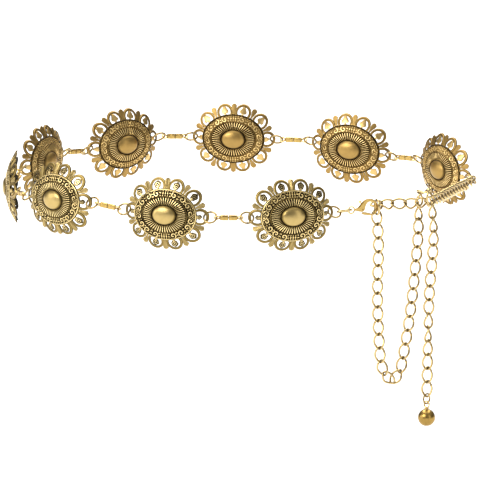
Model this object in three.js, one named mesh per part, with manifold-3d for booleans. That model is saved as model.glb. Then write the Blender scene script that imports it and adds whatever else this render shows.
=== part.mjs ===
// A metal concho chain belt, held in the loop that it makes round a waist.
// Nine cast oval medallions are joined by jump rings and bar links. A lobster clasp closes the loop on a curb
// chain, and the chain's free tail hangs down, is draped once over the loop and ends in a ball drop.
// Millimetres, +Z up, the wearer's front towards -Y. The origin is the middle of the loop.
import * as THREE from "three";
import { mergeGeometries, mergeVertices } from "three/addons/utils/BufferGeometryUtils.js";
import Module from "manifold-3d";

const wasm = await Module();
wasm.setup();

// Gaps and wires
const MERGE = 1e-3;
const WIRE_SIDES = 4; // rings and eyes
const CHAIN_SIDES = 3; // the chain's links
const WIRE_RADIUS = 0.82; // corner radius of the links' three-sided wire
const HALF_GAP = 1.58; // from a contact to each wire's middle where two pieces hang in each other, clear

// Medallion: a domed oval plate in a border of ten arches with fans between them
const PLATE_X = 22.5;
const PLATE_Y = 17.75;
const PLATE_SIDES = 16;
const BORDER_THICK = 1.2;
const BORDER_RISE = 3.5; // the plate's edge stands this far in front of the border's ends
const BORDER_REACH = 6.5; // over this distance from the plate's edge the border falls by that much
const ARCH_OUTER = 5.8;
const ARCH_HALF_ANGLE = 62;
const ARCH_STEPS = 3;
const END_ARCH_X = 24.1;
const FAN_REACH = 6.2;
const FAN_HALF_WIDTH = 1.8;
// The middles of the arches' circles from the right end round to the top. The rest are mirrored.
const ARCH_MIDDLES = [
  { x: END_ARCH_X, y: 0 },
  { x: 18.7, y: 12.5 },
  { x: 6.5, y: 18.7 },
];
// One gap between the flower and the arch, out from the arch's middle and to one side of it
const SIDE_GAP = [
  { out: -1.2, side: 0.8 },
  { out: -1, side: 3.6 },
  { out: 2.4, side: 3.1 },
  { out: 1.4, side: 1.8 },
];
// Half of the gap in an end arch, where the jump ring passes between the flower and the arch
const END_GAP_HALF = [
  { out: 1.4, side: 0 },
  { out: 0.4, side: 1.8 },
  { out: -1.2, side: 0.8 },
  { out: -1, side: 3.6 },
  { out: 1.6, side: 3.8 },
  { out: 3.4, side: 2.4 },
  { out: 4.2, side: 0 },
];
// The plate's section: share of the plate's half-width, and height in front of the border's ends
const PLATE_FRONT = [
  { share: 0.66, height: 6.2 },
  { share: 0.38, height: 7.6 },
  { share: 0.22, height: 9 },
  { share: 0, height: 9.7 },
];
const PLATE_BACK = [
  { share: 0, height: 8.4 },
  { share: 0.36, height: 6.4 },
  { share: 0.66, height: 4.9 },
];

// Jump rings and bar links
const RING_RADIUS = 4.4;
const RING_WIRE = 0.62;
const RING_STEPS = 8;
const RING_TILT = 44; // the ring leans about the belt's direction, so that it passes through the end arch
const RING_CONTACT = 26.3; // from a medallion's middle to the ring's wire in the end arch
const RING_LIFT = 0.5; // that wire lies this far in front of the border's ends
const BAR_SPAN = 16.2; // between the two rings' wires that a bar link joins
const EYE_RADIUS = 1.75;
const EYE_WIRE = 0.5;
const EYE_STEPS = 6;
const SLEEVE_LONG = 5.6;
const SLEEVE_TALL = 3.7;
const SLEEVE_THICK = 1.7;
const SLEEVE_SEAM = 0.3;
const BAR_CORE = 0.9;

// Curb chain
const LINK_HALF = 5.18; // half of a link's length, along its wire's middle
const LINK_HALF_WIDTH = 3.35;
const LINK_TWIST = 45;
const LINK_STEPS = 8;
const LOOP_LINKS = 20;
const LOOP_SPLIT = 10; // the loop's run is two solids, and the second one starts at this link
// How far a link of the loop is rolled about its length from facing outward. The last sits square on the
// hooked link.
const LOOP_ROLLS = { 17: 15, 18: 30, 19: 45 };

// Clasp, end ring and ball drop
const CLASP_THICK = 1.8;
const GATE_THICK = 1.2;
const CLASP_EYE_X = -3.1;
const CLASP_EYE_RADIUS = 2.3;
const CLASP_EYE_WIRE = 0.5;
const CLASP_LINK_HEADING = 32;
const CLASP_LINK_ROLL = -18;
const CLASP_HEADING = 26;
// The chain's link that hangs on the hook, from the clasp's own origin. The loop's last link pulls it to its
// side.
const HOOKED_LINK = { along: 16.8, side: 0.65, up: 0.35 };
const TAIL_SIDE = 1.25; // the tail hangs this far to the same side of its lowest point
const PULL_HEADING = 54; // the way that the loop's last link leaves it
const TAIL_SEAT = 1.7; // from the hooked link's wire to the contact, and from there to the tail's first wire
const CHAIN_SEAT = 1.25; // from a ring's wire to the chain's first contact
const PULL_REACH = 1.35;
const PULL_UP = 0.6;
const PULL_SIDE = 0.9; // that link sits this far out on the hooked link's wire, clear of the hook
const END_RING_RADIUS = 3.4;
const END_RING_WIRE = 0.6;
const END_RING_TURN = 50;
const DROP_EYE_RADIUS = 2.2;
const DROP_EYE_WIRE = 0.5;
const SEAT_GAP = 0.5;
const BALL_RADIUS = 6;
const BALL_NECK = 1.5;
const DROP_LENGTH = 9.2; // from the eye's middle to the ball's middle

// The belt as it lies round the waist, from the medallion beside the clasp: the way that each medallion
// points, seen from above, and its slope, with the same for the connector that follows it. Degrees. The far
// medallions have turned over, so that their domes face into the loop.
const OUTWARD = 1;
const INWARD = -1;
const FIRST_MIDDLE = new THREE.Vector3(33, -141.8, 0);
const PIECES = [
  { heading: 195, slope: -1, facing: OUTWARD, linkHeading: 178, linkSlope: 0 },
  { heading: 162, slope: 2, facing: OUTWARD, linkHeading: 152, linkSlope: 6 },
  { heading: 138, slope: -2, facing: OUTWARD, linkHeading: 110, linkSlope: -6 },
  { heading: 91, slope: -3, facing: OUTWARD, linkHeading: 85, linkSlope: 9 },
  { heading: 61, slope: 2, facing: INWARD, linkHeading: 53, linkSlope: -5 },
  { heading: 34, slope: 4, facing: INWARD, linkHeading: 23, linkSlope: -4 },
  { heading: -6, slope: -1, facing: INWARD, linkHeading: -15, linkSlope: 1 },
  { heading: -18, slope: -8, facing: INWARD, linkHeading: -41, linkSlope: 3 },
  { heading: -55, slope: -5, facing: INWARD },
];
// The chain's run from the last medallion to the clasp
const LOOP_GUIDE = [
  { x: 157.5, y: 34, z: -11 },
  { x: 149.5, y: 0, z: -8 },
  { x: 142.5, y: -30, z: -5.8 },
  { x: 135, y: -61, z: -3.5 },
  { x: 126.5, y: -87, z: -1.6 },
  { x: 114, y: -98.5, z: -0.3 },
  { x: 100, y: -104.5, z: 0.5 },
];
// The free tail: down from the hooked link, up to the loop, over it and down again to the ball
const TAIL_GUIDE = [
  { x: 92.8, y: -116.4, z: -22 },
  { x: 92.2, y: -116.2, z: -60 },
  { x: 93.6, y: -115.6, z: -95 },
  { x: 95.4, y: -114.5, z: -111 },
  { x: 101, y: -112, z: -122 },
  { x: 106.6, y: -109, z: -119.5 },
  { x: 109.3, y: -106.5, z: -110 },
  { x: 114.5, y: -101, z: -80 },
  { x: 117.9, y: -96, z: -52 },
  { x: 120.6, y: -89.5, z: -22 },
  { x: 120.8, y: -86.6, z: -8 },
  { x: 121, y: -86, z: 3 },
  { x: 125, y: -89.2, z: 10 },
  { x: 129, y: -92.4, z: 3 },
  { x: 130, y: -93.2, z: -8 },
  { x: 131.1, y: -94, z: -22 },
  { x: 129.9, y: -94, z: -42 },
  { x: 128.3, y: -94, z: -61 },
  { x: 127.6, y: -94, z: -88 },
  { x: 126.8, y: -94, z: -134.3 },
];
const TAIL_LINKS = 43;
// The tail's solids, by the number of their first link
const TAIL_PARTS = [
  { name: "tail_left", first: 0 },
  { name: "tail_turn", first: 12 },
  { name: "tail_middle", first: 15 },
  { name: "tail_drape", first: 26 },
  { name: "tail_right", first: 30 },
];
// Where the tail lies over the loop: those links, and the way that the loop runs there
const DRAPE_LINKS = { first: 25, last: 30 };
const DRAPE_HEADING = 56;
// The way that the tail's links face, seen from above, at some links. Those between turn evenly.
const TAIL_FACES = [
  { link: 0, face: 87 },
  { link: 2, face: 90 },
  { link: 23, face: 90 },
  { link: 26, face: 142 },
  { link: 30, face: 142 },
  { link: 32, face: 96 },
  { link: 36, face: 96 },
  { link: 37, face: 130 },
  { link: 38, face: 155 },
  { link: 39, face: 120 },
  { link: 41, face: 90 },
];

const gold = new THREE.MeshStandardMaterial({ color: 0xb8954c, metalness: 1, roughness: 0.38 });
const brightGold = new THREE.MeshStandardMaterial({ color: 0xd2b266, metalness: 1, roughness: 0.28 });
const wireGold = new THREE.MeshStandardMaterial({ color: 0xc4a65e, metalness: 1, roughness: 0.32 });

const radians = THREE.MathUtils.degToRad;
const up = new THREE.Vector3(0, 0, 1);

// Geometry helpers

function bare(geometry) {
  const copy = geometry.index ? geometry.toNonIndexed() : geometry.clone();
  copy.deleteAttribute("normal");
  copy.deleteAttribute("uv");
  return copy;
}

function toSolid(geometry) {
  const merged = mergeVertices(bare(geometry), MERGE);
  const vertProperties = merged.attributes.position.array;
  const triVerts = new Uint32Array(merged.index.array);
  return new wasm.Manifold(new wasm.Mesh({ numProp: 3, vertProperties, triVerts }));
}

function toGeometry(solid) {
  const mesh = solid.getMesh();
  const geometry = new THREE.BufferGeometry();
  geometry.setAttribute("position", new THREE.BufferAttribute(new Float32Array(mesh.vertProperties), 3));
  geometry.setIndex(new THREE.BufferAttribute(new Uint32Array(mesh.triVerts), 1));
  const flat = geometry.toNonIndexed();
  flat.computeVertexNormals();
  return flat;
}

function joined(geometries) {
  return toGeometry(geometries.map(toSolid).reduce((whole, piece) => whole.add(piece)));
}

function placed(geometry, x, y, z) {
  return geometry.clone().translate(x, y, z);
}

// The matrix of a piece whose own x runs along the belt and whose own z looks towards `face`
function along(middle, direction, face) {
  const x = direction.clone().normalize();
  const z = face.clone().addScaledVector(x, -face.dot(x)).normalize();
  const y = new THREE.Vector3().crossVectors(z, x);
  return new THREE.Matrix4().makeBasis(x, y, z).setPosition(middle);
}

function bearing(heading, slope) {
  const flat = Math.cos(radians(slope));
  const angle = radians(heading);
  return new THREE.Vector3(flat * Math.cos(angle), flat * Math.sin(angle), Math.sin(radians(slope)));
}

// Medallion

function mirror(arch, signX, signY) {
  return { x: arch.x * signX, y: arch.y * signY };
}

function archRing() {
  const [end, corner, top] = ARCH_MIDDLES;
  const upper = [end, corner, top, mirror(top, -1, 1), mirror(corner, -1, 1), mirror(end, -1, 1)];
  const lower = [mirror(corner, -1, -1), mirror(top, -1, -1), mirror(top, 1, -1), mirror(corner, 1, -1)];
  return [...upper, ...lower].map((arch) => new THREE.Vector2(arch.x, arch.y));
}

// A fan stands half-way between two arches and points straight out
function fanBetween(first, second) {
  const side = second.clone().sub(first).normalize();
  const out = new THREE.Vector2(side.y, -side.x);
  return { middle: first.clone().add(second).multiplyScalar(0.5), side, out };
}

function local(origin, out, side, point) {
  return origin.clone().addScaledVector(out, point.out).addScaledVector(side, point.side);
}

function borderShape() {
  const arches = archRing();
  const count = arches.length;
  const fans = arches.map((arch, index) => fanBetween(arch, arches[(index + 1) % count]));
  const outline = [];
  const gaps = [];
  arches.forEach((middle, index) => {
    const before = fans[(index + count - 1) % count];
    const after = fans[index];
    const out = before.out.clone().add(after.out).normalize();
    const side = new THREE.Vector2(-out.y, out.x);
    for (let step = 0; step <= ARCH_STEPS; step++) {
      const angle = radians(ARCH_HALF_ANGLE * (2 * step / ARCH_STEPS - 1));
      const point = { out: ARCH_OUTER * Math.cos(angle), side: ARCH_OUTER * Math.sin(angle) };
      outline.push(local(middle, out, side, point));
    }
    for (const end of [-FAN_HALF_WIDTH, FAN_HALF_WIDTH]) {
      outline.push(local(after.middle, after.out, after.side, { out: FAN_REACH, side: end }));
    }
    const mirrored = (points) => points.map((point) => ({ out: point.out, side: -point.side }));
    const cut = (points) => gaps.push(points.map((point) => local(middle, out, side, point)));
    if (middle.y === 0) cut([...END_GAP_HALF, ...mirrored(END_GAP_HALF.slice(1, -1)).reverse()]);
    else [SIDE_GAP, mirrored(SIDE_GAP)].forEach(cut);
  });
  const shape = new THREE.Shape(outline);
  gaps.forEach((gap) => shape.holes.push(new THREE.Path(gap)));
  const plateEdge = [];
  for (let step = 0; step < PLATE_SIDES; step++) {
    const angle = 2 * Math.PI * step / PLATE_SIDES;
    plateEdge.push(new THREE.Vector2(PLATE_X * Math.sin(angle), -PLATE_Y * Math.cos(angle)));
  }
  shape.holes.push(new THREE.Path(plateEdge));
  return shape;
}

function plateShare(x, y) {
  return Math.hypot(x / PLATE_X, y / PLATE_Y);
}

function borderHeight(x, y) {
  const share = Math.max(1, plateShare(x, y));
  const beyond = Math.hypot(x, y) * (1 - 1 / share);
  return BORDER_RISE * (1 - beyond / BORDER_REACH);
}

// The border without the walls of its middle hole, where the plate's two skins carry on
function borderSkin() {
  const flat = bare(new THREE.ExtrudeGeometry(borderShape(), { depth: BORDER_THICK, bevelEnabled: false }));
  flat.translate(0, 0, -BORDER_THICK / 2);
  const points = flat.attributes.position;
  const kept = [];
  for (let corner = 0; corner < points.count; corner += 3) {
    const corners = [corner, corner + 1, corner + 2];
    const offPlate = (i) => Math.abs(plateShare(points.getX(i), points.getY(i)) - 1) >= MERGE;
    if (!corners.some(offPlate)) continue;
    for (const i of corners) {
      const x = points.getX(i);
      const y = points.getY(i);
      kept.push(x, y, points.getZ(i) + borderHeight(x, y));
    }
  }
  return new THREE.BufferGeometry().setAttribute("position", new THREE.Float32BufferAttribute(kept, 3));
}

function plateSkin(profile) {
  const points = profile.map((point) => new THREE.Vector2(point.share * PLATE_X, point.height));
  const skin = bare(new THREE.LatheGeometry(points, PLATE_SIDES));
  return skin.rotateX(Math.PI / 2).scale(1, PLATE_Y / PLATE_X, 1);
}

function withoutFlatFaces(geometry) {
  const merged = mergeVertices(geometry, MERGE);
  const corners = merged.index.array;
  const kept = [];
  for (let i = 0; i < corners.length; i += 3) {
    const [a, b, c] = corners.slice(i, i + 3);
    if (a !== b && b !== c && c !== a) kept.push(a, b, c);
  }
  merged.setIndex(kept);
  return merged;
}

function medallionGeometry() {
  const edgeFront = { share: 1, height: BORDER_RISE + BORDER_THICK / 2 };
  const edgeBack = { share: 1, height: BORDER_RISE - BORDER_THICK / 2 };
  const front = plateSkin([edgeFront, ...PLATE_FRONT]);
  const back = plateSkin([...PLATE_BACK, edgeBack]);
  return withoutFlatFaces(mergeGeometries([borderSkin(), front, back]));
}

// Rings, bars and links

// Two flat sleeves on a core, with an eye at each end that is turned to suit the leaning ring
function barGeometry() {
  const eyeMiddle = BAR_SPAN / 2 + RING_WIRE + EYE_WIRE + SEAT_GAP - EYE_RADIUS;
  const flatEye = new THREE.TorusGeometry(EYE_RADIUS, EYE_WIRE, CHAIN_SIDES, EYE_STEPS);
  const eye = flatEye.rotateX(radians(RING_TILT));
  const core = new THREE.BoxGeometry(2 * (eyeMiddle - EYE_RADIUS), BAR_CORE, BAR_CORE);
  const sleeve = new THREE.BoxGeometry(SLEEVE_LONG, SLEEVE_THICK, SLEEVE_TALL);
  const offset = (SLEEVE_LONG + SLEEVE_SEAM) / 2;
  return joined([
    core,
    placed(eye, -eyeMiddle, 0, 0),
    placed(eye, eyeMiddle, 0, 0),
    placed(sleeve, -offset, 0, 0),
    placed(sleeve, offset, 0, 0),
  ]);
}

// An oval of wire whose two ends are turned against each other about its length
class LinkCurve extends THREE.Curve {
  constructor(twist) {
    super();
    this.twist = radians(twist);
  }

  getPoint(share, target = new THREE.Vector3()) {
    const angle = 2 * Math.PI * share;
    const turn = this.twist * Math.cos(angle);
    const across = LINK_HALF_WIDTH * Math.sin(angle);
    return target.set(LINK_HALF * Math.cos(angle), across * Math.cos(turn), across * Math.sin(turn));
  }
}

function linkGeometry(twist) {
  return new THREE.TubeGeometry(new LinkCurve(twist), LINK_STEPS, WIRE_RADIUS, CHAIN_SIDES, true);
}

// The next point on a finely sampled guide that lies `distance` from `start`, and where it was found
function stepAlong(guide, start, from, distance) {
  let index = from;
  while (index < guide.length - 1 && guide[index].distanceTo(start) < distance) index++;
  const inner = guide[Math.max(index - 1, from)];
  const outer = guide[index];
  const near = inner.distanceTo(start);
  const far = outer.distanceTo(start);
  const share = far > near ? THREE.MathUtils.clamp((distance - near) / (far - near), 0, 1) : 1;
  return { point: inner.clone().lerp(outer, share), index };
}

const GUIDE_SAMPLES = 1500;

function guideThrough(points) {
  const curve = new THREE.CatmullRomCurve3(points, false, "centripetal");
  return curve.getSpacedPoints(GUIDE_SAMPLES);
}

// The matrices of a run of links along a guide. `reaches` holds the room from a contact to each wire's middle
// where it isn't the usual one, by the number of the link that starts there.
function layLinks(guide, count, reaches, joinedReach, faceOf) {
  const matrices = [];
  let contact = guide[0].clone();
  let index = 0;
  for (let link = 0; link < count; link++) {
    const before = reaches.get(link) ?? joinedReach;
    const after = reaches.get(link + 1) ?? joinedReach;
    const next = stepAlong(guide, contact, index, 2 * LINK_HALF - before - after);
    const direction = next.point.clone().sub(contact).normalize();
    const middle = contact.clone().addScaledVector(direction, LINK_HALF - before);
    matrices.push(along(middle, direction, faceOf(middle, direction, link)));
    contact = next.point;
    index = next.index;
  }
  return { matrices, end: contact, used: index };
}

// The room at the joined contacts with which a run of links ends just where its guide does
function fittingReach(guide, count, reaches) {
  let low = 0;
  let high = 0.9;
  for (let step = 0; step < 30; step++) {
    const reach = (low + high) / 2;
    const run = layLinks(guide, count, reaches, reach, () => up);
    if (run.used >= guide.length - 1) low = reach;
    else high = reach;
  }
  return low;
}

// Clasp: a body with a hooked end and a gate, drawn along the belt (x) and up (z), from the eye at its tail

const CLASP_BODY = [
  [-1, 0.6], [1, 0.9], [2.4, 1.6], [4.4, 3.8], [6.6, 6], [9.6, 7], [12.8, 6.6], [15.5, 4.9], [17, 2.2],
  [17.1, -0.9], [16, -3.2], [14.4, -4.5], [13.1, -4.7], [12.9, -3.4], [14.1, -3], [14.9, -1.8],
  [15.2, 0.4], [14.5, 3], [12.6, 4.7], [10, 4.9], [8.2, 3.7], [7.3, 1.2], [6.8, -1], [5.2, -1.9],
  [3, -1.6], [1, -0.9], [-1, -0.6],
];
const CLASP_GATE = [[4.4, -2.4], [6.6, -1.9], [12.6, -3.6], [12.6, -4.8], [9, -4.5], [5, -3.6]];
const NUB = { x: 3.3, z: 5.2, radius: 0.9 };
const NUB_STEM = [[3, 5.6], [4.1, 3.2], [5.1, 4.3], [3.7, 5.8]];

function plateOf(points, thickness) {
  const shape = new THREE.Shape(points.map(([x, z]) => new THREE.Vector2(x, z)));
  const solid = new THREE.ExtrudeGeometry(shape, { depth: thickness, bevelEnabled: false });
  return solid.rotateX(Math.PI / 2).translate(0, thickness / 2, 0);
}

function claspBodyGeometry() {
  const eye = new THREE.TorusGeometry(CLASP_EYE_RADIUS, CLASP_EYE_WIRE, WIRE_SIDES, 8).rotateX(Math.PI / 2);
  const nub = new THREE.SphereGeometry(NUB.radius, 7, 5).translate(NUB.x, 0, NUB.z);
  const body = plateOf(CLASP_BODY, CLASP_THICK);
  return joined([body, eye.translate(CLASP_EYE_X, 0, 0), plateOf(NUB_STEM, GATE_THICK / 2), nub]);
}

function claspGateGeometry() {
  return plateOf(CLASP_GATE, GATE_THICK);
}

// Ball drop, drawn from the middle of its eye downwards

const BALL_ROWS = 6;
const BALL_SIDES = 10;
const NECK_TALL = 1.2;

function dropGeometry() {
  const neckAngle = Math.asin(BALL_NECK / BALL_RADIUS);
  const profile = [new THREE.Vector2(0, -DROP_LENGTH - BALL_RADIUS)];
  for (let row = 1; row <= BALL_ROWS; row++) {
    const angle = Math.PI - (Math.PI - neckAngle) * row / BALL_ROWS;
    const height = BALL_RADIUS * Math.cos(angle) - DROP_LENGTH;
    profile.push(new THREE.Vector2(BALL_RADIUS * Math.sin(angle), height));
  }
  const neckTop = BALL_RADIUS * Math.cos(neckAngle) + NECK_TALL - DROP_LENGTH;
  profile.push(new THREE.Vector2(BALL_NECK, neckTop), new THREE.Vector2(0, neckTop));
  const ball = new THREE.LatheGeometry(profile, BALL_SIDES).rotateX(Math.PI / 2);
  const eye = new THREE.TorusGeometry(DROP_EYE_RADIUS, DROP_EYE_WIRE, WIRE_SIDES, 8).rotateX(Math.PI / 2);
  return joined([withoutFlatFaces(bare(ball)), eye]);
}

// The belt

const belt = new THREE.Group();

function addMesh(name, geometry, material, matrix) {
  const mesh = new THREE.Mesh(geometry, material);
  mesh.name = name;
  matrix.decompose(mesh.position, mesh.quaternion, mesh.scale);
  belt.add(mesh);
}

function outwardOf(direction) {
  return new THREE.Vector3().crossVectors(up, direction).normalize();
}

const medallion = medallionGeometry();
const bar = barGeometry();
const ring = new THREE.TorusGeometry(RING_RADIUS, RING_WIRE, WIRE_SIDES, RING_STEPS);
const link = linkGeometry(LINK_TWIST);
const plainLink = linkGeometry(0);

// The point of an end arch where its ring's wire passes: side -1 is the medallion's start, 1 its end
function archContact(middle, direction, facing, side) {
  const lift = outwardOf(direction).multiplyScalar(facing * RING_LIFT);
  return middle.clone().addScaledVector(direction, side * RING_CONTACT).add(lift);
}

// A ring between an arch and what hangs in its far side, both given as points on its wire
function addRing(name, inner, outer, beltDirection) {
  const direction = outer.clone().sub(inner).normalize();
  const tilt = beltDirection.dot(direction) > 0 ? RING_TILT : -RING_TILT;
  const face = outwardOf(beltDirection).applyAxisAngle(direction, radians(tilt));
  addMesh(name, ring, wireGold, along(inner.clone().lerp(outer, 0.5), direction, face));
}

const middles = [];
const directions = PIECES.map((piece) => bearing(piece.heading, piece.slope));
let middle = FIRST_MIDDLE.clone();
PIECES.forEach((piece, index) => {
  const number = String(index + 1).padStart(2, "0");
  const direction = directions[index];
  middles.push(middle);
  const face = outwardOf(direction).multiplyScalar(piece.facing);
  addMesh("medallion_" + number, medallion, gold, along(middle, direction, face));
  if (index === PIECES.length - 1) return;
  const next = directions[index + 1];
  const way = bearing(piece.linkHeading, piece.linkSlope);
  const firstWay = direction.clone().add(way).normalize();
  const secondWay = next.clone().add(way).normalize();
  const firstInner = archContact(middle, direction, piece.facing, 1);
  const firstOuter = firstInner.clone().addScaledVector(firstWay, 2 * RING_RADIUS);
  const secondOuter = firstOuter.clone().addScaledVector(way, BAR_SPAN);
  const secondInner = secondOuter.clone().addScaledVector(secondWay, 2 * RING_RADIUS);
  addRing("ring_" + number + "_start", firstInner, firstOuter, direction);
  addMesh("bar_link_" + number, bar, brightGold, along(firstOuter.clone().lerp(secondOuter, 0.5), way, up));
  addRing("ring_" + number + "_end", secondInner, secondOuter, next);
  const nextContact = archContact(new THREE.Vector3(), next, PIECES[index + 1].facing, -1);
  middle = secondInner.clone().sub(nextContact);
});

// Clasp side: ring, one plain link lying flat, clasp
const claspRingInner = archContact(middles[0], directions[0], PIECES[0].facing, -1);
const claspLinkWay = bearing(CLASP_LINK_HEADING, 0);
const claspRingWay = claspLinkWay.clone().sub(directions[0]).normalize();
const claspRingOuter = claspRingInner.clone().addScaledVector(claspRingWay, 2 * RING_RADIUS);
addRing("ring_clasp", claspRingInner, claspRingOuter, directions[0]);
const claspLinkSeat = RING_WIRE + WIRE_RADIUS + SEAT_GAP;
const claspLinkBack = claspRingOuter.clone().addScaledVector(claspLinkWay, -claspLinkSeat);
const claspLinkMiddle = claspLinkBack.clone().addScaledVector(claspLinkWay, LINK_HALF);
const claspLinkFace = up.clone().applyAxisAngle(claspLinkWay, radians(CLASP_LINK_ROLL));
addMesh("clasp_link", plainLink, wireGold, along(claspLinkMiddle, claspLinkWay, claspLinkFace));
const claspLinkFront = claspLinkMiddle.clone().addScaledVector(claspLinkWay, LINK_HALF);
const claspWay = bearing(CLASP_HEADING, 0);
const claspEyeSeat = WIRE_RADIUS + CLASP_EYE_WIRE + SEAT_GAP;
const eyeBack = claspLinkFront.clone().addScaledVector(claspWay, -claspEyeSeat);
const claspOrigin = eyeBack.clone().addScaledVector(claspWay, CLASP_EYE_RADIUS - CLASP_EYE_X);
const claspMatrix = along(claspOrigin, claspWay, up);
addMesh("clasp_body", claspBodyGeometry(), brightGold, claspMatrix);
addMesh("clasp_gate", claspGateGeometry(), brightGold, claspMatrix);

// The hooked link stands across the hook's own line, and the hook passes through it
const claspSide = bearing(CLASP_HEADING + 90, 0);
const hookedMiddle = claspOrigin
  .clone()
  .addScaledVector(claspWay, HOOKED_LINK.along)
  .addScaledVector(claspSide, HOOKED_LINK.side)
  .addScaledVector(up, HOOKED_LINK.up);
addMesh("hooked_link", plainLink, wireGold, along(hookedMiddle, up, claspWay));
const hookedSide = hookedMiddle.clone().addScaledVector(claspSide, LINK_HALF_WIDTH + PULL_SIDE);
const pullWay = bearing(PULL_HEADING, 0);
const loopEnd = hookedSide.addScaledVector(pullWay, -PULL_REACH).addScaledVector(up, PULL_UP);
const hookedBottom = hookedMiddle
  .clone()
  .addScaledVector(up, TAIL_SEAT - LINK_HALF)
  .addScaledVector(claspSide, TAIL_SIDE);

// Chain side: ring, then the run round to the hooked link
const last = PIECES.length - 1;
const chainRingInner = archContact(middles[last], directions[last], PIECES[last].facing, 1);
const chainRingOuter = chainRingInner.clone().addScaledVector(directions[last], 2 * RING_RADIUS);
addRing("ring_chain", chainRingInner, chainRingOuter, directions[last]);
const vectors = (rows) => rows.map((row) => new THREE.Vector3(row.x, row.y, row.z));
const chainStart = chainRingOuter.clone().addScaledVector(directions[last], -CHAIN_SEAT);
const loopGuide = guideThrough([chainStart, ...vectors(LOOP_GUIDE), loopEnd]);
const loopReaches = new Map([[0, HALF_GAP], [LOOP_SPLIT, HALF_GAP], [LOOP_LINKS, HALF_GAP]]);
const loopReach = fittingReach(loopGuide, LOOP_LINKS, loopReaches);

function loopFace(place, direction, number) {
  const outward = new THREE.Vector3(place.x, place.y, 0);
  return outward.applyAxisAngle(direction, radians(LOOP_ROLLS[number] ?? 0));
}

const loop = layLinks(loopGuide, LOOP_LINKS, loopReaches, loopReach, loopFace);

function addRun(name, matrices) {
  const links = matrices.map((matrix) => link.clone().applyMatrix4(matrix));
  addMesh(name, joined(links), wireGold, new THREE.Matrix4());
}

addRun("chain_back", loop.matrices.slice(0, LOOP_SPLIT));
addRun("chain_front", loop.matrices.slice(LOOP_SPLIT));

// The tail. Where it lies over the loop its links face away from the loop's own line there.
const drapeLine = bearing(DRAPE_HEADING, 0);

function tailFace(place, direction, number) {
  const drapes = number >= DRAPE_LINKS.first && number <= DRAPE_LINKS.last;
  if (drapes) return new THREE.Vector3().crossVectors(drapeLine, direction);
  const after = TAIL_FACES.find((row) => row.link >= number) ?? TAIL_FACES.at(-1);
  const before = TAIL_FACES.findLast((row) => row.link <= number) ?? TAIL_FACES[0];
  const share = after.link > before.link ? (number - before.link) / (after.link - before.link) : 0;
  return bearing(THREE.MathUtils.lerp(before.face, after.face, share), 0);
}

const tailGuide = guideThrough([hookedBottom, ...vectors(TAIL_GUIDE)]);
const tailReaches = new Map(TAIL_PARTS.map((part) => [part.first, HALF_GAP]));
tailReaches.set(0, TAIL_SEAT);
tailReaches.set(TAIL_LINKS, HALF_GAP);
const tailReach = fittingReach(tailGuide, TAIL_LINKS, tailReaches);
const tail = layLinks(tailGuide, TAIL_LINKS, tailReaches, tailReach, tailFace);
TAIL_PARTS.forEach((part, index) => {
  const end = index + 1 < TAIL_PARTS.length ? TAIL_PARTS[index + 1].first : TAIL_LINKS;
  addRun(part.name, tail.matrices.slice(part.first, end));
});

// End ring and ball drop
const endRingTop = tail.end.clone().addScaledVector(up, END_RING_WIRE + WIRE_RADIUS + SEAT_GAP - HALF_GAP);
const endRingMiddle = endRingTop.clone().addScaledVector(up, -END_RING_RADIUS);
const endRing = new THREE.TorusGeometry(END_RING_RADIUS, END_RING_WIRE, WIRE_SIDES, RING_STEPS);
const endFace = bearing(END_RING_TURN - 90, 0);
addMesh("end_ring", endRing, wireGold, along(endRingMiddle, up, endFace));
const hinge = endRingMiddle.clone().addScaledVector(up, -END_RING_RADIUS);
const dropEye = hinge.clone().addScaledVector(up, END_RING_WIRE + DROP_EYE_WIRE + SEAT_GAP - DROP_EYE_RADIUS);
addMesh("ball_drop", dropGeometry(), brightGold, along(dropEye, endFace, up));

export default belt;
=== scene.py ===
# A metal concho chain belt in the loop that it makes round a waist.
# It has nine cast medallions on rings and bar links, a lobster clasp on a curb chain,
# and the chain's free tail with a ball drop.
# Sizes are in millimetres and repeat the model's own named values, so each piece sits on its node.
# A level says how far a surface stands out: 0 is a dark recess and 1 is worn bright. On some parts a level
# also carries painted shade, such as where links touch.
import math
import bpy
import bmesh
import numpy as np
from mathutils import Matrix, Vector


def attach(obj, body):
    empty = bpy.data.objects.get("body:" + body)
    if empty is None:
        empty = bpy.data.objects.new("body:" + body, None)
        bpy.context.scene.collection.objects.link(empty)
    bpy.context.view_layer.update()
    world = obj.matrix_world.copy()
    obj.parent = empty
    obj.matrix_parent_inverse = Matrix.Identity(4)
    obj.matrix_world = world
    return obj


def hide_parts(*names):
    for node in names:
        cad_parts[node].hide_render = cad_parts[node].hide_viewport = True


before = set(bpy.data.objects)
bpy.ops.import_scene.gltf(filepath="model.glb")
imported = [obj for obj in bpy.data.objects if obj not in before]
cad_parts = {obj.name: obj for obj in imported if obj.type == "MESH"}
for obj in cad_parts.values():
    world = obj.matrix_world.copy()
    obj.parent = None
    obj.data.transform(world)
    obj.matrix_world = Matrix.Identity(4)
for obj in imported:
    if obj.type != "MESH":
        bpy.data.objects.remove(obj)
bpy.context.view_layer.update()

MM = 0.001
UP = Vector((0, 0, 1))
CIRCLE = 2 * math.pi

# Camera: the photograph looks along +Y, tilted down, from far away
IMAGE_SIZE = 480
CAMERA_TILT = 10.8
CAMERA_DISTANCE = 5000
CAMERA_SCALE = 0.6961  # millimetres in a pixel at the origin
CAMERA_CLIP = 60  # metres
ORIGIN_PIXEL = (242, 177.4)
SENSOR = 36

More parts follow.
